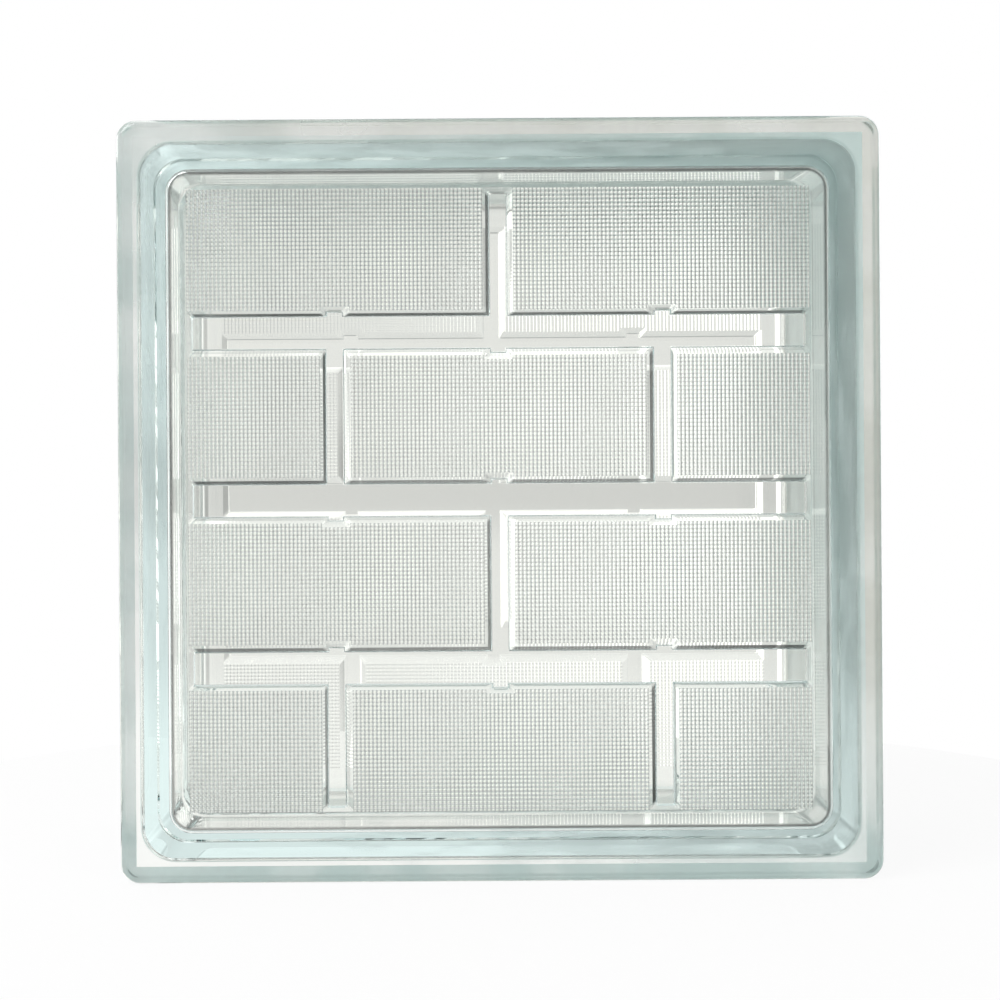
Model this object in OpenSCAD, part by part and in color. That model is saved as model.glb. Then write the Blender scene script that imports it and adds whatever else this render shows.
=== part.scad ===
// Hollow glass block for walls: two pressed half shells fused into one piece at the middle of the depth.
// It stands on its bottom edge with the front face towards -Y, origin under the centre of that edge.

/* [Block] */
// Width and height of the two faces
face_size = 190; // [150:1:300]
// Depth from face to face
block_depth = 80; // [60:1:120]
// Radius of the four outer corners, seen from the front
corner_radius = 5; // [3:0.5:10]
// Rounding of the edge between a face and its rim
face_edge_radius = 2; // [0.5:0.25:2.5]

/* [Mortar channel] */
// Thickness of the rim beside each face
rim_thickness = 10; // [6:0.5:16]
// Rounding of the rim's edge at the channel
rim_edge_radius = 1; // [0.5:0.25:1.5]
// Depth of the channel below the rim
channel_depth = 5; // [4.5:0.25:7]
// Radius of the hollow where the channel's floor meets the rim
channel_fillet = 1.25; // [0.5:0.25:3.25]
// Radius of the channel's corners, seen from the front
channel_corner_radius = 8; // [6:0.5:14]

/* [Fused seam] */
// Width of the bead of glass around the outside
seam_width = 5; // [3:0.25:8]
// Height of that bead over the channel's floor
seam_height = 1.5; // [0.5:0.1:2.2]
// Width of the bead around the inside
inner_seam_width = 4; // [2:0.25:6]
// Height of the bead around the inside
inner_seam_height = 1; // [0.4:0.1:1.8]

/* [Hollow] */
// Thickness of each face's pane in the joints of the brick pattern
pane_thickness = 8; // [5:0.25:12]
// Thickness of the side walls where they meet the panes
wall_thickness = 6; // [4.5:0.25:7]
// Angle by which the side walls thin towards the seam
wall_draft = 2; // [0.5:0.25:3]
// Radius of the hollow's corners at the panes
hollow_corner_radius = 6; // [4:0.5:9]
// Radius between the panes and the side walls
hollow_fillet = 2; // [1:0.25:3.5]

/* [Brick pattern] */
// Number of courses from top to bottom
courses = 4; // [2:1:6]
// Number of whole bricks in the first course
bricks_in_course = 2; // [1:1:4]
// Width and height of the pattern over the tops of its bricks
field_size = 157; // [110:1:158]
// Width of the level joints at their floor
bed_joint = 7.7; // [3:0.1:10]
// Width of the upright joints at their floor
head_joint = 3.9; // [2:0.1:10]
// Run of the sloped sides and ends of the joints
joint_bevel = 1.9; // [0.8:0.1:2.2]
// Depth of the joints below the tops of the bricks
joint_depth = 2.1; // [0.5:0.1:3]
// How far the upright joints run on into the bricks above and below
joint_overrun = 0.7; // [0.3:0.1:1.5]

/* [Hidden] */
$fn = 96;
half_face = face_size / 2;
half_depth = block_depth / 2;
// Depth at which the rim ends and the channel begins
shoulder = half_depth - rim_thickness;
// Distance of the corner axes from the middle, for the rim, the channel and the hollow
rim_axis = half_face - corner_radius;
channel_axis = half_face - channel_depth - channel_corner_radius;
hollow_axis = half_face - channel_depth - wall_thickness - hollow_corner_radius;
// Circle of each seam bead
seam_radius = bead_radius(seam_width, seam_height);
inner_seam_radius = bead_radius(inner_seam_width, inner_seam_height);
// Depth at which the hollow ends, level with the tops of the bricks
brick_tops = half_depth - pane_thickness - joint_depth;
// Centre of the arc between pane and side wall
fillet_out = hollow_corner_radius - hollow_fillet;
fillet_up = brick_tops - hollow_fillet;
// Hollow's radius at the seam, where its walls are furthest apart
hollow_seam_radius = hollow_corner_radius + fillet_up * tan(wall_draft);
// Distance between brick tops across the joints
course_gap = bed_joint + 2 * joint_bevel;
brick_gap = head_joint + 2 * joint_bevel;
// Tops of the bricks, whole and halved at the ends of every second course
brick_height = (field_size - (courses - 1) * course_gap) / courses;
brick_width = (field_size - (bricks_in_course - 1) * brick_gap) / bricks_in_course;
half_brick_width = (brick_width - brick_gap) / 2;
// How far the joints reach back into the hollow
joint_root = joint_depth;

// Radius of the circle whose cap has this width and height
function bead_radius(width, height) = (width * width / 4 + height * height) / (2 * height);

// Slice of a disc between two angles up to a quarter turn apart
module sector(radius, from, to) {
    middle = (from + to) / 2;
    intersection() {
        circle(radius);
        polygon(2 * radius * [
            [0, 0],
            [cos(from), sin(from)],
            [cos(middle), sin(middle)],
            [cos(to), sin(to)]
        ]);
    }
}

// Square body with round corners: the profile runs along the four sides and turns round the corner axes
module rounded_body(axis) {
    for (turn = [0, 90])
        rotate(turn)
            rotate([90, 0, 0])
                linear_extrude(height = 2 * axis, center = true) {
                    translate([axis, 0])
                        children();
                    mirror([1, 0])
                        translate([axis, 0])
                            children();
                }
    for (turn = [0:90:270])
        rotate(turn)
            translate([axis, axis, 0])
                rotate_extrude(angle = 90)
                    intersection() {
                        children();
                        translate([0, -block_depth])
                            square([half_face, 2 * block_depth]);
                    }
}

// Rim beside one face, from the middle of the block out to the rounded edges
module rim_profile() {
    translate([-rim_axis, shoulder + rim_edge_radius])
        square([rim_axis + corner_radius, rim_thickness - face_edge_radius - rim_edge_radius]);
    translate([-rim_axis, half_depth - face_edge_radius])
        square([rim_axis + corner_radius - face_edge_radius, face_edge_radius]);
    translate([corner_radius - face_edge_radius, half_depth - face_edge_radius])
        sector(face_edge_radius, 0, 90);
    translate([-rim_axis, shoulder])
        square([rim_axis + corner_radius - rim_edge_radius, rim_edge_radius]);
    translate([corner_radius - rim_edge_radius, shoulder + rim_edge_radius])
        sector(rim_edge_radius, -90, 0);
}

// Core between the rims, hollowed at its feet, with the seam bead around its middle
module core_profile() {
    reach = channel_corner_radius + channel_fillet;
    top = half_depth - rim_thickness / 2;
    straight = shoulder - channel_fillet;
    difference() {
        translate([-channel_axis, -top])
            square([channel_axis + reach, 2 * top]);
        translate([channel_corner_radius, -straight])
            square([2 * channel_fillet, 2 * straight]);
        for (side = [-1, 1])
            translate([reach, side * straight])
                circle(channel_fillet);
    }
    translate([channel_corner_radius + seam_height - seam_radius, 0])
        circle(seam_radius);
}

// Hollow inside: drafted walls, rounded into the panes, pinched by the bead inside the seam
module hollow_profile() {
    difference() {
        for (side = [0, 1])
            mirror([0, side]) {
                polygon([
                    [-hollow_axis, 0],
                    [hollow_seam_radius, 0],
                    [hollow_corner_radius, fillet_up],
                    [fillet_out, fillet_up],
                    [fillet_out, brick_tops],
                    [-hollow_axis, brick_tops]
                ]);
                translate([fillet_out, fillet_up])
                    sector(hollow_fillet, 0, 90);
            }
        translate([hollow_seam_radius - inner_seam_height + inner_seam_radius, 0])
            circle(inner_seam_radius);
    }
}

// Cross-section of a joint, sloped from the level of the bricks down to its floor in the pane
module joint_section(opening) {
    floor_width = opening - 2 * joint_bevel;
    polygon([
        [-opening / 2, -joint_root],
        [opening / 2, -joint_root],
        [opening / 2, 0],
        [floor_width / 2, joint_depth],
        [-floor_width / 2, joint_depth],
        [-opening / 2, 0]
    ]);
}

// One joint, mitred where the slopes of its sides and ends meet
module joint(width, height) {
    intersection() {
        rotate([90, 0, 0])
            linear_extrude(height = height + 2 * joint_bevel, center = true)
                joint_section(width);
        rotate([90, 0, 90])
            linear_extrude(height = width + 2 * joint_bevel, center = true)
                joint_section(height);
    }
}

// Upright joints of one course, run on across the level joints above and below it
module head_joints(course) {
    broken = course % 2;
    first_brick = broken == 1 ? half_brick_width : brick_width;
    above = course == 0 ? 0 : course_gap + joint_overrun;
    below = course == courses - 1 ? 0 : course_gap + joint_overrun;
    if (bricks_in_course + broken > 1)
        for (i = [0:bricks_in_course + broken - 2])
            translate([
                (brick_gap - field_size) / 2 + first_brick + i * (brick_width + brick_gap),
                (above - below) / 2,
                0
            ])
                joint(brick_gap, brick_height + above + below);
}

// Joints of the front pane between bricks in running bond, from the top course down
module joint_pattern() {
    for (i = [0:courses - 1])
        translate([0, (field_size - brick_height) / 2 - i * (brick_height + course_gap), brick_tops]) {
            head_joints(i);
            if (i > 0)
                translate([0, (brick_height + course_gap) / 2, 0])
                    joint(field_size, course_gap);
        }
}

// Outside of the block, solid
module outside() {
    for (side = [0, 1])
        mirror([0, 0, side])
            rounded_body(rim_axis)
                rim_profile();
    rounded_body(channel_axis)
        core_profile();
}

// Sealed space inside, with the joints pressed into both panes
module inside() {
    rounded_body(hollow_axis)
        hollow_profile();
    for (side = [0, 1])
        mirror([0, 0, side])
            joint_pattern();
}

module glass_block() {
    color([0.76, 0.87, 0.85])
        translate([0, 0, half_face])
            rotate([90, 0, 0])
                difference() {
                    outside();
                    inside();
                }
}

glass_block();
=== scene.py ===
import math

import bmesh
import bpy
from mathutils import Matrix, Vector, noise


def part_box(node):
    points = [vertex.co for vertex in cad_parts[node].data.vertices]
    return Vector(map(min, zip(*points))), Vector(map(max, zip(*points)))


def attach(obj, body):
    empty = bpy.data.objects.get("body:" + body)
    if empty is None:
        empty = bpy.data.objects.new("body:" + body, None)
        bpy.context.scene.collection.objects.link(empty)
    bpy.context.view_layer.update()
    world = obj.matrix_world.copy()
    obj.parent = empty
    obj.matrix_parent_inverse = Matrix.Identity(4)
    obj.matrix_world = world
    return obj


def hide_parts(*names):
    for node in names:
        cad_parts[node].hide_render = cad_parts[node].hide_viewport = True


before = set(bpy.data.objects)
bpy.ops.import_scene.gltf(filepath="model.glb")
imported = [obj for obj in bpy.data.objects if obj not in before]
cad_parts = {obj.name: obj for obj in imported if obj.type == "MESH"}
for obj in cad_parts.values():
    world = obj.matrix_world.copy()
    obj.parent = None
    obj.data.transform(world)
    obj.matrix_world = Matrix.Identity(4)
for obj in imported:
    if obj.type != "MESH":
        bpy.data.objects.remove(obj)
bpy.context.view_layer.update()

lowCorner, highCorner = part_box("glass_block")
blockCentre = (lowCorner + highCorner) / 2
halfFace = (highCorner.x - lowCorner.x) / 2
halfDepth = (highCorner.y - lowCorner.y) / 2
scene = bpy.context.scene
scene.view_settings.view_transform = "Standard"


# shader maths as plain expressions: a Wire is an output socket, and + - * on it add Math nodes
class Wire:
    def __init__(self, tree, socket=None):
        self.tree, self.socket = tree, socket

    def node(self, kind, settings=None, inputs=None, output=0):
        made = self.tree.nodes.new(kind)
        for name, value in (settings or {}).items():
            setattr(made, name, value)
        for name, value in (inputs or {}).items():
            if isinstance(value, Wire):
                self.tree.links.new(value.socket, made.inputs[name])
            else:
                made.inputs[name].default_value = value
        return Wire(self.tree, made.outputs[output]) if made.outputs else None

    def out(self, name):  # another output of the same node
        return Wire(self.tree, self.socket.node.outputs[name])

    def maths(self, operation, *values):
        return self.node("ShaderNodeMath", {"operation": operation}, dict(enumerate(values)))

    def ramp(self, low, high, start=0.0, end=1.0):  # soft step from start to end between low and high
        return self.node("ShaderNodeMapRange", {"interpolation_type": "SMOOTHSTEP"}, {
            "Value": self, "From Min": low, "From Max": high, "To Min": start, "To Max": end})

    def __add__(self, other):
        return self.maths("ADD", self, other)

    def __sub__(self, other):
        return self.maths("SUBTRACT", self, other)

    def __rsub__(self, other):
        return self.maths("SUBTRACT", other, self)

    def __mul__(self, other):
        return self.maths("MULTIPLY", self, other)

    __radd__ = __add__
    __rmul__ = __mul__


def newTree(owner):
    owner.use_nodes = True
    owner.node_tree.nodes.clear()
    return Wire(owner.node_tree)


# the section of the block, in metres, as the solid has it
glassSection = dict(
    cornerRadius=0.005, faceEdge=0.002,
    rimThickness=0.010, rimEdge=0.001,
    channelDepth=0.005, channelFillet=0.00125, channelCorner=0.008,
    seamWidth=0.005, seamHeight=0.0015,
    innerSeamWidth=0.004, innerSeamHeight=0.001,
    paneThickness=0.008, wallThickness=0.006, wallDraft=2.0,
    hollowCorner=0.006, hollowFillet=0.002,
    cornerSteps=12, edgeSteps=6, seamSteps=8, seamPieces=60,
    seamWander=0.0003, seamWaves=25,  # slow and quick unevenness of the beads
    seamRipple=0.0002, rippleWaves=260, ripplePatches=12, rippleLeast=0.4,
    # painted shade on the rings of the hollow's fillet, from the pane round to the wall
    filletShade=(0, 0.95, 0.95, 0.5, 0, 0, 0),  # from the pane round to the wall
)

# the bricks pressed into both panes and the fine grain on their tops
brickPattern = dict(
    courses=4, bricksInCourse=2, fieldSize=0.157,
    bedJoint=0.0077, headJoint=0.0039,
    bevel=0.0019, relief=0.0021,
    # how far out and how high each step of a joint's side is, and how much painted shade its crease gets
    bevelShape=((0.04, 0.99, 0), (0.10, 0.96, 0), (0.36, 0.826, 0), (0.42, 0.795, 1), (0.80, 0.597, 1),
                (0.82, 0.580, 1), (0.88, 0.060, 1), (0.90, 0.035, 0.5), (1, 0, 0)),
    # painted shade in the crease on each side of a brick
    creaseShadeBySide=(0.98, 1.0, 0.45, 0.40),  # below a brick, right of it, above it, left of it
    # painted shade in the notches and at the ends of the joints
    notchShade=0.15, endShade=0.0, notchSlack=0.25,  # slack in grain cells
    grainPitch=0.00102, grainSlope=(0.70, 0.55),  # across, up
)


def squareRing(bm, halfWidth, cornerRadius, y, facing, sidePieces=1, wander=None, dark=0):
    # one loop round the block, as four corner runs and four side runs of vertices;
    # facing is the normal in the section, (outward, along the depth), and a wandering loop finds its own
    steps = glassSection["cornerSteps"]
    axis = halfWidth - cornerRadius
    layer, paintedCreaseShade = bm.verts.layers.float_vector["facing"], bm.verts.layers.float["paintedCreaseShade"]

    def plant(point, outward):
        away = wander(point) if wander else 0
        vert = bm.verts.new(blockCentre + point + outward * away + Vector((0, y, 0)))
        vert[layer] = Vector() if wander else outward * facing[0] + Vector((0, facing[1], 0))
        # painted shade: how far the glass colour is darkened at this vertex
        vert[paintedCreaseShade] = dark
        return vert

    corners, sides = [], []
    for turn in range(4):
        run = []
        for i in range(steps + 1):
            angle = math.radians(90 * (turn + i / steps))
            outward = Vector((math.cos(angle), 0, math.sin(angle)))
            middle = math.radians(90 * turn + 45)
            cornerAxis = axis * math.sqrt(2) * Vector((math.cos(middle), 0, math.sin(middle)))
            run.append((cornerAxis + cornerRadius * outward, outward))
        corners.append(run)
    for turn in range(4):
        (start, outward), (end, _) = corners[turn][-1], corners[(turn + 1) % 4][0]
        sides.append([(start.lerp(end, i / sidePieces), outward) for i in range(1, sidePieces)])
    return [[plant(*p) for p in run] for run in corners], [[plant(*p) for p in run] for run in sides]


def ringLoop(ring):
    return [vert for turn in range(4) for vert in ring[0][turn] + ring[1][turn]]


def skinBetween(bm, ringA, ringB):
    for turn in range(4):
        following = (turn + 1) % 4
        chainA, chainB = ringA[0][turn], ringB[0][turn]
        for i in range(len(chainA) - 1):
            bm.faces.new((chainA[i], chainA[i + 1], chainB[i + 1], chainB[i]))
        chainA = [chainA[-1]] + ringA[1][turn] + [ringA[0][following][0]]
        chainB = [chainB[-1]] + ringB[1][turn] + [ringB[0][following][0]]
        if len(chainA) == len(chainB):
            for i in range(len(chainA) - 1):
                bm.faces.new((chainA[i], chainA[i + 1], chainB[i + 1], chainB[i]))
        else:
            bm.faces.new(chainA + chainB[::-1])


def seamWander(point):  # the fused bead is never quite even
    p = glassSection
    slow = noise.noise(point * p["seamWaves"]) * p["seamWander"]
    quick = noise.noise(point * p["rippleWaves"] + Vector((5, 0, 0))) * p["seamRipple"]
    patch = max(0, noise.noise(point * p["ripplePatches"] + Vector((0, 9, 0))))
    return slow + quick * (p["rippleLeast"] + patch)


def beadCircle(width, height):  # radius of the circle whose cap has this width and height
    return (width ** 2 / 4 + height ** 2) / (2 * height)


def buildOutside(bm):
    p = glassSection
    rimAxis = halfFace - p["cornerRadius"]
    channelHalf = halfFace - p["channelDepth"]
    channelAxis = channelHalf - p["channelCorner"]
    shoulder = halfDepth - p["rimThickness"]
    quarter = [math.pi / 2 * i / p["edgeSteps"] for i in range(p["edgeSteps"] + 1)]
    profile = []  # half width, axis of the corner, distance from the seam, normal in the section
    for a in quarter:
        profile.append((halfFace - p["faceEdge"] * (1 - math.sin(a)), rimAxis,
                        halfDepth - p["faceEdge"] * (1 - math.cos(a)), (math.sin(a), math.cos(a))))
    for a in quarter:
        profile.append((halfFace - p["rimEdge"] * (1 - math.cos(a)), rimAxis,
                        shoulder + p["rimEdge"] * (1 - math.sin(a)), (math.cos(a), -math.sin(a))))
    for a in quarter:
        profile.append((channelHalf + p["channelFillet"] * (1 - math.sin(a)), channelAxis,
                        shoulder - p["channelFillet"] * (1 - math.cos(a)), (math.sin(a), -math.cos(a))))
    feet = []
    for side in (-1, 1):
        rings = [squareRing(bm, half, half - axis, side * away, (outward, side * along))
                 for half, axis, away, (outward, along) in profile]
        for ringA, ringB in zip(rings, rings[1:]):
            skinBetween(bm, ringA, ringB)
        bm.faces.new(ringLoop(rings[0]))
        feet.append(rings[-1])
    seamRadius = beadCircle(p["seamWidth"], p["seamHeight"])
    bead = []
    for i in range(p["seamSteps"] + 1):
        y = p["seamWidth"] * (i / p["seamSteps"] - 0.5)
        half = channelHalf + p["seamHeight"] - seamRadius + math.sqrt(seamRadius ** 2 - y ** 2)
        wander = seamWander if 0 < i < p["seamSteps"] else None
        bead.append(squareRing(bm, half, half - channelAxis, y, (1, 0), p["seamPieces"], wander))
    for ringA, ringB in zip([feet[0]] + bead, bead + [feet[1]]):
        skinBetween(bm, ringA, ringB)


def buildHollowWalls(bm):
    p = glassSection
    hollowHalf = halfFace - p["channelDepth"] - p["wallThickness"]
    hollowAxis = hollowHalf - p["hollowCorner"]
    filletUp = halfDepth - p["paneThickness"] - brickPattern["relief"] - p["hollowFillet"]
    draft = math.tan(math.radians(p["wallDraft"]))
    widest = hollowHalf + filletUp * draft
    feet, paneLoops = [], []
    for side in (-1, 1):
        rings = []
        for i in range(p["edgeSteps"] + 1):
            a = math.pi / 2 * i / p["edgeSteps"]
            half = hollowHalf - p["hollowFillet"] * (1 - math.sin(a))
            away = side * (filletUp + p["hollowFillet"] * math.cos(a))
            facing = (-math.sin(a), -side * math.cos(a))
            rings.append(squareRing(bm, half, half - hollowAxis, away, facing, dark=p["filletShade"][i]))
        for ringA, ringB in zip(rings, rings[1:]):
            skinBetween(bm, ringA, ringB)
        feet.append(rings[-1])
        paneLoops.append(ringLoop(rings[0]))
    beadRadius = beadCircle(p["innerSeamWidth"], p["innerSeamHeight"])
    bead = []
    for i in range(p["seamSteps"] + 1):
        y = p["innerSeamWidth"] * (i / p["seamSteps"] - 0.5)
        wall = widest - abs(y) * draft
        crest = widest - p["innerSeamHeight"] + beadRadius - math.sqrt(beadRadius ** 2 - y ** 2)
        inner = 0 < i < p["seamSteps"]
        half = min(wall, crest) if inner else wall
        wander = seamWander if inner else None
        bead.append(squareRing(bm, half, half - hollowAxis, y, (-1, 0), p["seamPieces"], wander))
    for ringA, ringB in zip([feet[0]] + bead, bead + [feet[1]]):
        skinBetween(bm, ringA, ringB)
    return paneLoops


def courseLayout():
    # left and right edge of every brick, course by course in running bond from the top down
    p = brickPattern
    field, count = p["fieldSize"], p["bricksInCourse"]
    gap = p["headJoint"] + 2 * p["bevel"]
    whole = (field - (count - 1) * gap) / count
    half = (whole - gap) / 2
    layout = []
    for course in range(p["courses"]):
        widths = [whole] * count if course % 2 == 0 else [half] + [whole] * (count - 1) + [half]
        x, bricks = -field / 2, []
        for width in widths:
            bricks.append((x, x + width))
            x += width + gap
        layout.append(bricks)
    return layout


def bevelAngles():
    # angle at each step of the bevel, halfway between those of the runs before and after it
    p = brickPattern
    steps = [(0, 1, 0)] + list(p["bevelShape"])
    runs = []
    for (outA, riseA, _), (outB, riseB, _) in zip(steps, steps[1:]):
        runs.append(math.atan2((riseA - riseB) * p["relief"], (outB - outA) * p["bevel"]))
    return [(a + b) / 2 for a, b in zip(runs, runs[1:])] + [0]


def panePoint(bm, side, x, z, rise, outward=Vector(), dark=0):
    # vertex on the inside of a pane, at a height over the floor of the joints
    floor = halfDepth - glassSection["paneThickness"]
    vert = bm.verts.new(blockCentre + Vector((x, side * (floor - rise), z)))
    vert[bm.verts.layers.float_vector["facing"]] = (outward + Vector((0, -side, 0))).normalized()
    # painted shade: how far the glass colour is darkened at this vertex
    vert[bm.verts.layers.float["paintedCreaseShade"]] = dark
    return vert


def edgeRuns(at, length, notches, outward, darks):
    # straight runs of grain corners along one side of a brick, in and out of the notches
    along = Vector((-outward.z, 0, outward.x))
    runs, done = [], 0
    for start, end in notches:
        runs += [([at(i, 0) for i in range(done, start + 1)], outward, darks[0]),
                 ([at(start, 0), at(start, 1)], along, darks[1]),
                 ([at(i, 1) for i in range(start, end + 1)], outward, darks[1]),
                 ([at(end, 1), at(end, 0)], -along, darks[1])]
        done = end
    return runs + [([at(i, 0) for i in range(done, length + 1)], outward, darks[0])]


def buildBrick(bm, side, left, right, low, high, headsBelow, headsAbove):
    # the grain of one brick: a low pyramid in each cell, with the lean of a small lens kept at its corners;
    # gives back its four sides as runs of vertices, the cells where an upright joint runs on left out
    p = brickPattern
    columns, rows = round((right - left) / p["grainPitch"]), round((high - low) / p["grainPitch"])
    across, up = p["grainSlope"]
    apex = (across + up) / 2 * p["grainPitch"] / 2
    grainLean = bm.loops.layers.float_vector["grainLean"]
    reach = p["headJoint"] / 2 + p["bevel"]
    pitch = (right - left) / columns
    slack = p["notchSlack"]
    notches = [[(round((x - reach - left) / pitch + slack), round((x + reach - left) / pitch - slack))
                for x in heads if left < x < right] for heads in (headsBelow, headsAbove)]
    edgeRows = ((0, notches[0]), (rows - 1, notches[1]))
    gone = {(i, j) for j, spans in edgeRows for first, last in spans for i in range(first, last)}
    corners = {}

    def corner(i, j):
        if (i, j) not in corners:
            x, z = left + (right - left) * i / columns, low + (high - low) * j / rows
            corners[i, j] = panePoint(bm, side, x, z, p["relief"])
        return corners[i, j]

    for i in range(columns):
        for j in range(rows):
            if (i, j) in gone:
                continue
            x, z = left + (right - left) * (i + 0.5) / columns, low + (high - low) * (j + 0.5) / rows
            peak = panePoint(bm, side, x, z, p["relief"] + apex)
            cell = [(corner(i, j), -across, -up), (corner(i + 1, j), across, -up),
                    (corner(i + 1, j + 1), across, up), (corner(i, j + 1), -across, up)]
            for k in range(4):
                (a, ax, az), (b, bx, bz) = cell[k], cell[(k + 1) % 4]
                loops = bm.faces.new((a, b, peak)).loops
                loops[0][grainLean] = Vector((ax, 0, az))
                loops[1][grainLean] = Vector((bx, 0, bz))

    flipped = [(columns - b, columns - a) for a, b in reversed(notches[1])]
    darks = [(dark, p["notchShade"]) for dark in p["creaseShadeBySide"]]
    return [edgeRuns(lambda k, d: corner(k, d), columns, notches[0], Vector((0, 0, -1)), darks[0]),
            edgeRuns(lambda k, d: corner(columns - d, k), rows, [], Vector((1, 0, 0)), darks[1]),
            edgeRuns(lambda k, d: corner(columns - k, rows - d), columns, flipped, Vector((0, 0, 1)),
                     darks[2]),
            edgeRuns(lambda k, d: corner(d, rows - k), rows, [], Vector((-1, 0, 0)), darks[3])]


def openChains(sides, isOpen):
    # the sides along joints as chains of runs, and the sides along the margin
    if all(isOpen):
        return [], [], [sum(sides, [])]
    first = isOpen.index(False)
    chains, margin, chain = [], [], []
    for k in range(first, first + 4):
        if isOpen[k % 4]:
            chain = chain + sides[k % 4]
        else:
            margin += sides[k % 4]
            chains, chain = chains + [chain], []
    return [c for c in chains + [chain] if c], margin, []


def closeJoints(bm, side, chains):
    # joins the chains round the ends of the joints into loops
    p = brickPattern
    loops, ends = [], []
    while chains:
        loop = chains.pop(0)
        while True:
            last = loop[-1][0][-1]
            starts = [loop] + chains
            following = min(starts, key=lambda c: (c[0][0][0].co - last.co).length)
            first = following[0][0][0]
            along = (first.co - last.co).normalized()
            outward = Vector((along.z, 0, -along.x))
            near = [last.co + along * p["grainPitch"], first.co - along * p["grainPitch"]]
            near = [panePoint(bm, side, *(point - blockCentre).xz, p["relief"]) for point in near]
            end = ([last] + near + [first], outward, p["endShade"])
            loop = loop + [end]
            ends.append(end)
            if first is loop[0][0][0]:
                break
            chains.remove(following)
            loop = loop + following
        loops.append(loop)
    return loops, ends


def buildJointSides(bm, side, loop):
    # rings down the bevel, each run drawn by its corner and a point one cell from either end
    p = brickPattern
    inner = [run[0] for run in loop]
    for (out, rise, share), angle in zip(p["bevelShape"], bevelAngles()):
        places = []
        for before, run in zip(loop[-1:] + loop, loop):
            places.append(run[0][0].co - blockCentre + out * p["bevel"] * (before[1] + run[1]))
        rings = []
        for k, (verts, outward, dark) in enumerate(loop):
            before, start, end = loop[k - 1], places[k], places[(k + 1) % len(loop)]
            along = (end - start).normalized() * p["grainPitch"]
            points = [(start, (before[1] + outward).normalized(), min(before[2], dark))]
            if len(verts) > 2:
                points += [(start + along, outward, dark), (end - along, outward, dark)]
            height, lean = rise * p["relief"], math.tan(angle)
            rings.append([panePoint(bm, side, point.x, point.z, height, facing * lean, d * share)
                          for point, facing, d in points])
        outer = [ring + [rings[(k + 1) % len(rings)][0]] for k, ring in enumerate(rings)]
        for edgeA, edgeB in zip(inner, outer):
            bm.faces.new((edgeA[0], edgeA[1], edgeB[1], edgeB[0]))
            if len(edgeB) > 2:
                bm.faces.new(edgeA[1:-1] + [edgeB[2], edgeB[1]])
                bm.faces.new((edgeA[-2], edgeA[-1], edgeB[3], edgeB[2]))
        inner = outer
    return [vert for edge in inner for vert in edge[:-1]]


def loopEdges(bm, verts, closed=True):
    pairs = zip(verts, verts[1:] + verts[:1] if closed else verts[1:])
    return [bm.edges.get(pair) or bm.edges.new(pair) for pair in pairs]


def buildPane(bm, side, paneLoop):
    p = brickPattern
    layout = courseLayout()
    courseGap = p["bedJoint"] + 2 * p["bevel"]
    height = (p["fieldSize"] - (p["courses"] - 1) * courseGap) / p["courses"]
    heads = [[(a[1] + b[0]) / 2 for a, b in zip(bricks, bricks[1:])] for bricks in layout]
    chains, margin, loops = [], [], []
    for course, bricks in enumerate(layout):
        high = p["fieldSize"] / 2 - course * (height + courseGap)
        above = heads[course - 1] if course else []
        below = heads[course + 1] if course < len(layout) - 1 else []
        for k, (left, right) in enumerate(bricks):
            sides = buildBrick(bm, side, left, right, high - height, high, below, above)
            isOpen = [course < len(layout) - 1, k < len(bricks) - 1, course > 0, k > 0]
            found = openChains(sides, isOpen)
            chains, margin, loops = chains + found[0], margin + found[1], loops + found[2]
    outer, ends = closeJoints(bm, side, chains)
    floors = [buildJointSides(bm, side, loop) for loop in outer + loops]
    edges = loopEdges(bm, paneLoop)
    for verts, _, _ in margin + ends:
        edges += loopEdges(bm, verts, closed=False)
    bmesh.ops.triangle_fill(bm, use_beauty=True, edges=edges, normal=(0, -side, 0))
    edges = [edge for verts in floors for edge in loopEdges(bm, verts)]
    bmesh.ops.triangle_fill(bm, use_beauty=True, edges=edges, normal=(0, -side, 0))


def buildInside(bm):
    for side, paneLoop in zip((-1, 1), buildHollowWalls(bm)):
        buildPane(bm, side, paneLoop)


def buildBlock():
    bm = bmesh.new()
    facing = bm.verts.layers.float_vector.new("facing")
    bm.loops.layers.float_vector.new("grainLean")
    # a layer for the painted shade in the creases
    bm.verts.layers.float.new("paintedCreaseShade")
    buildInside(bm)
    inside = set(bm.faces)
    bmesh.ops.recalc_face_normals(bm, faces=list(inside))
    bmesh.ops.reverse_faces(bm, faces=list(inside))  # the hollow's skin faces away from the glass
    buildOutside(bm)
    bmesh.ops.recalc_face_normals(bm, faces=[face for face in bm.faces if face not in inside])
    # all of it is smooth, because light loses track of the glass where flat and smooth faces mix
    for face in bm.faces:
        face.smooth = True
    normals = [vert[facing][:] for vert in bm.verts]
    mesh = bpy.data.meshes.new("glassBlock")
    bm.to_mesh(mesh)
    bm.free()
    mesh.attributes.remove(mesh.attributes["facing"])
    mesh.normals_split_custom_set_from_vertices(normals)
    block = bpy.data.objects.new("glassBlock", mesh)
    scene.collection.objects.link(block)
    return block


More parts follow.
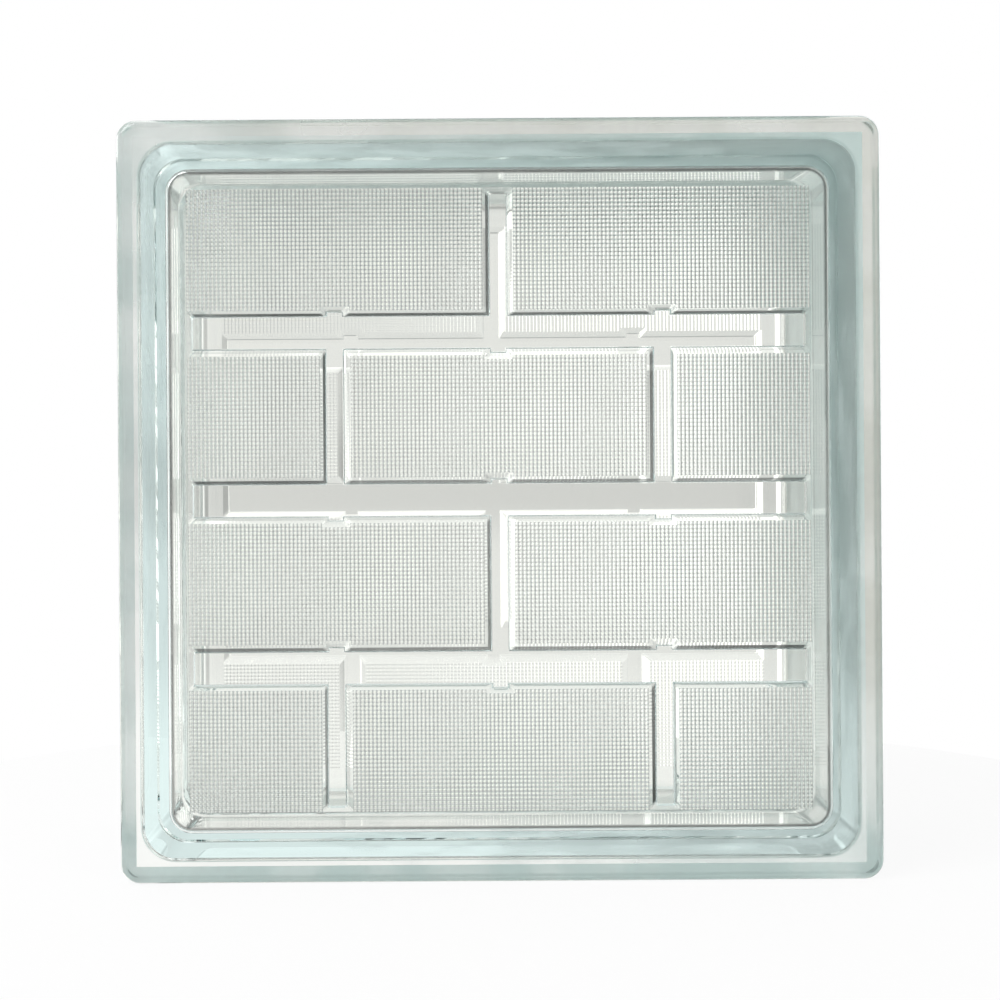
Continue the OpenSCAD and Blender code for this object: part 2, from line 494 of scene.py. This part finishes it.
# clear pressed glass, green in the depth, with a thin milky coat on the edges that take the mortar
glassLook = dict(
    ior=1.52, clarity=(0.985, 0.975, 0.948, 1),
    waveScale=30, waveHeight=0.00003,
    tint=(0.325, 0.875, 0.90, 1), tintDensity=4.0,
    # the tilt of the coat and its extra cover on the bottom rim are painted light and shade
    coatInner=0.0865, coatCover=(0.29, 0.59), paintedShadeTilt=(0.36, 0.30), rimCoat=0.20, bottomRimShade=0.30,
    # the second colour is a painted warm reflection on the rims
    coatColour=(0.60, 0.74, 0.72, 1), warmReflectionColour=(0.68, 0.68, 0.60, 1),
    coatLetsThrough=0.5, coatRoughness=0.8, cloudScale=60, cloudPatch=(0.3, 0.7),
    coatFade=0.001, channelShare=0.6, rimFade=(0.07, 0.09), warmReflectionFade=(0, 0.06),  # where the coat changes
    # near-black colour of the painted shade, laid on in noise patches
    creaseShadeColour=(0.0020, 0.0024, 0.0016, 1),
    creaseScale=14, creasePatch=(0.35, 0.65), creaseRange=(0.9, 1.0),
    # painted shade in the valleys of the grain
    valleyShadeStrength=(1.65, 0.92),  # between grain cells side by side, and one above the other
)


def glassMaterial():
    look = glassLook
    material = bpy.data.materials.new("pressedGlass")
    start = newTree(material)
    place = start.node("ShaderNodeTexCoord", output="Object")
    # the lens of each grain cell leans the normal, to the other side where the ray leaves the glass
    lean = start.node("ShaderNodeAttribute", {"attribute_name": "grainLean"}, output="Vector")
    slant = start.node("ShaderNodeSeparateXYZ", inputs={0: lean})
    lean = start.node("ShaderNodeVectorTransform", {
        "vector_type": "VECTOR", "convert_from": "OBJECT", "convert_to": "WORLD"}, {"Vector": lean})
    surface = start.node("ShaderNodeNewGeometry", output="Normal")
    turned = 1 - 2 * surface.out("Backfacing")
    lean = start.node("ShaderNodeVectorMath", {"operation": "SCALE"}, {0: lean, "Scale": turned})
    leaning = start.node("ShaderNodeVectorMath", {"operation": "ADD"}, {0: surface, 1: lean})
    leaning = start.node("ShaderNodeVectorMath", {"operation": "NORMALIZE"}, {0: leaning})
    wave = start.node("ShaderNodeTexNoise", inputs={
        "Vector": place, "Scale": look["waveScale"], "Detail": 1})
    waved = start.node("ShaderNodeBump", inputs={
        "Strength": 1, "Distance": look["waveHeight"], "Height": wave, "Normal": leaning})
    # painted shade: in steep creases and the valleys of the grain the glass colour is darkened towards
    # near-black for light that comes at them through the glass
    paintedCreaseShade = start.node("ShaderNodeAttribute", {"attribute_name": "paintedCreaseShade"}, output="Fac")
    patchy = start.node("ShaderNodeTexNoise", inputs={
        "Vector": place, "Scale": look["creaseScale"], "Detail": 1})
    patchy = patchy.ramp(*look["creasePatch"], *look["creaseRange"])
    beside, over = look["valleyShadeStrength"]
    # painted shade, strongest where the lens of a cell leans most
    valleyShade = slant * slant * beside + slant.out("Z") * slant.out("Z") * over
    paintedShade = (paintedCreaseShade * patchy + valleyShade) * surface.out("Backfacing")
    clear = start.node("ShaderNodeMix", {"data_type": "RGBA"},
                       {0: paintedShade, 6: look["clarity"], 7: look["creaseShadeColour"]}, output=2)
    glass = start.node("ShaderNodeBsdfPrincipled", inputs={
        "Base Color": clear, "Roughness": 0.0, "IOR": look["ior"],
        "Transmission Weight": 1, "Normal": waved})
    # the coat lies on the outside between the two faces and is cloudy; in the channel it is laid thinner
    # towards the left and bottom and thicker towards the top and right as painted light and shade, on the
    # rims everywhere but at the top, with more on the bottom rim as painted shade
    spot = start.node("ShaderNodeSeparateXYZ", inputs={0: place})
    height = spot.out("Z") - blockCentre.z
    outward = start.maths("MAXIMUM", start.maths("ABSOLUTE", spot), start.maths("ABSOLUTE", height))
    onSide = start.maths("GREATER_THAN", outward, look["coatInner"])
    faceEdge = halfDepth - glassSection["faceEdge"]
    onEdge = start.maths("ABSOLUTE", spot.out("Y")).ramp(faceEdge - look["coatFade"], faceEdge, 1, 0)
    cloud = start.node("ShaderNodeTexNoise", inputs={
        "Vector": place, "Scale": look["cloudScale"], "Detail": 3})
    channelEnd = halfFace - look["channelShare"] * glassSection["channelDepth"]
    inChannel = start.maths("LESS_THAN", outward, channelEnd)
    shadeTiltRight, shadeTiltUp = (tilt / halfFace for tilt in look["paintedShadeTilt"])
    coverAndShade = cloud.ramp(*look["cloudPatch"], *look["coatCover"])
    # painted light and shade: the cover thins to the left and bottom and thickens to the right and top
    coverAndShade = coverAndShade + inChannel * (spot * shadeTiltRight + height * shadeTiltUp)
    near, far = look["rimFade"]
    # painted shade: more cover on the bottom rim
    onRim = height.ramp(far, near) * look["rimCoat"] + height.ramp(-near, -far) * look["bottomRimShade"]
    coverAndShade = coverAndShade + (1 - inChannel) * onRim
    warmReflection = (1 - inChannel) * (spot + height).ramp(*look["warmReflectionFade"])  # painted warm reflection on the rims, towards the right and top
    # the coat's milky colour, with the painted warm reflection mixed in on the rims
    milkyAndWarmReflection = start.node("ShaderNodeMix", {"data_type": "RGBA"},
                       {0: warmReflection, 6: look["coatColour"], 7: look["warmReflectionColour"]}, output=2)
    coat = start.node("ShaderNodeBsdfPrincipled", inputs={
        "Base Color": milkyAndWarmReflection, "Roughness": look["coatRoughness"], "IOR": look["ior"],
        "Transmission Weight": look["coatLetsThrough"], "Normal": waved})
    skin = start.node("ShaderNodeMixShader", inputs={0: onSide * onEdge * coverAndShade, 1: glass, 2: coat})
    depth = start.node("ShaderNodeVolumeAbsorption", inputs={
        "Color": look["tint"], "Density": look["tintDensity"]})
    start.node("ShaderNodeOutputMaterial", inputs={"Surface": skin, "Volume": depth})
    return material


block = buildBlock()
block.data.materials.append(glassMaterial())
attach(block, "root")
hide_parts("glass_block")
print("block:", sum(len(face.vertices) - 2 for face in block.data.polygons), "triangles")


# plain pale room: white where the camera looks past the block; through the glass its wall is even straight
# behind, lighter to the right and below, dimmer to the left and above
studio = dict(
    floorRadius=0.22, floorSegments=96, floorColour=(0.90, 0.90, 0.90, 1), floorGlow=0.90,
    # what each zone adds to the wall or takes from it, and how far right, back or up it fades in
    wallLevel=0.66, leftTilt=0.15,
    rightGain=1.25, rightIn=(0.24, 0.36), rightOut=(0.56, 0.70),
    leftLoss=0.34, leftZone=(-0.26, -0.40), farLeftGain=0.40, farLeftZone=(-0.55, -0.85),
    wallRise=0.17, riseZone=(0.012, 0.05),
    lowGain=0.50, lowZone=(-0.18, -0.35), highLoss=0.05, highZone=(0.18, 0.35),
    roundGain=0.20, behindZone=(0.58, 0.76), floorGain=0.13, floorZone=(-0.10, -0.16),
    ceilingLevel=0.35, ceilingZone=(0.45, 0.80),
    fillLevel=0.9, fillLeft=0.35, fillBelow=0.25,  # light on what isn't glass
    lamps=(((-0.9, -0.8, 1.3), 0.9, 12.0), ((0.8, -1.0, 1.0), 0.8, 2.0)),
)


def buildWorld():
    s = studio
    world = bpy.data.worlds.new("paleRoom")
    scene.world = world
    start = newTree(world)
    towards = start.node("ShaderNodeTexCoord", output="Generated")
    side = start.node("ShaderNodeSeparateXYZ", inputs={0: towards})
    up = side.out("Z")
    behind = side.out("Y").ramp(*s["behindZone"])
    zones = (side.ramp(*s["rightIn"]) - side.ramp(*s["rightOut"])) * s["rightGain"] - side * s["leftTilt"]
    zones = zones + start.maths("ABSOLUTE", up).ramp(*s["riseZone"]) * s["wallRise"]
    zones = zones + up.ramp(*s["lowZone"]) * s["lowGain"] - up.ramp(*s["highZone"]) * s["highLoss"]
    zones = zones - side.ramp(*s["leftZone"]) * s["leftLoss"]
    room = s["wallLevel"] + behind * zones + (1 - behind) * s["roundGain"]
    room = room + side.ramp(*s["farLeftZone"]) * s["farLeftGain"]
    room = room + up.ramp(*s["floorZone"]) * s["floorGain"]  # meets the far edge of the floor
    above = up.ramp(*s["ceilingZone"])
    room = room * (1 - above) + above * s["ceilingLevel"]
    path = start.node("ShaderNodeLightPath", output="Is Camera Ray")
    seen = start.maths("MINIMUM", path.out("Is Glossy Ray") + path.out("Is Transmission Ray"), 1)
    fill = s["fillLevel"] - side * s["fillLeft"] - up * s["fillBelow"]
    strength = seen * room + (1 - seen) * fill
    strength = path + (1 - path) * strength
    sky = start.node("ShaderNodeBackground", inputs={"Color": (1, 1, 1, 1), "Strength": strength})
    start.node("ShaderNodeOutputWorld", inputs={"Surface": sky})


def buildFloor():
    mesh = bpy.data.meshes.new("paleFloor")
    bm = bmesh.new()
    segments, radius = studio["floorSegments"], studio["floorRadius"]
    bmesh.ops.create_circle(bm, cap_ends=True, segments=segments, radius=radius)
    bm.to_mesh(mesh)
    bm.free()
    floor = bpy.data.objects.new("paleFloor", mesh)
    scene.collection.objects.link(floor)
    material = bpy.data.materials.new("paleFloor")
    start = newTree(material)
    matt = start.node("ShaderNodeBsdfDiffuse", inputs={"Color": studio["floorColour"]})
    glow = start.node("ShaderNodeEmission", inputs={"Color": (1, 1, 1, 1), "Strength": 1})
    mixed = start.node("ShaderNodeMixShader", inputs={0: studio["floorGlow"], 1: matt, 2: glow})
    start.node("ShaderNodeOutputMaterial", inputs={"Surface": mixed})
    floor.data.materials.append(material)


def buildLamps():
    for i, (place, size, power) in enumerate(studio["lamps"]):
        data = bpy.data.lights.new("softLamp%d" % i, "AREA")
        data.size, data.energy = size, power
        lamp = bpy.data.objects.new("softLamp%d" % i, data)
        lamp.location = place
        lamp.rotation_euler = (blockCentre - Vector(place)).to_track_quat("-Z", "Y").to_euler()
        scene.collection.objects.link(lamp)


buildWorld()
buildFloor()
buildLamps()
print("studio: floor, room and", len(studio["lamps"]), "lamps")


# the photograph's view: square on to the face, a little left of and above its middle
photoView = dict(distance=0.39, offLeft=0.0123, offUp=0.005, frameWidth=0.2479, roll=0.39, sensor=36.0)


def buildCamera():
    v = photoView
    data = bpy.data.cameras.new("photoView")
    data.sensor_width = v["sensor"]
    data.lens = v["sensor"] * v["distance"] / v["frameWidth"]
    data.shift_x = v["offLeft"] / v["frameWidth"]
    data.shift_y = -v["offUp"] / v["frameWidth"]
    camera = bpy.data.objects.new("photoView", data)
    camera.location = blockCentre + Vector((-v["offLeft"], -halfDepth - v["distance"], v["offUp"]))
    camera.rotation_euler = (math.pi / 2, math.radians(v["roll"]), 0)
    scene.collection.objects.link(camera)
    scene.camera = camera


buildCamera()
scene.cycles.max_bounces = 8  # light that has bounced longer in the glass counts as dark
scene.cycles.transmission_bounces = 8
scene.cycles.glossy_bounces = 8
scene.cycles.diffuse_bounces = 1
print("camera: set to the photograph's view")
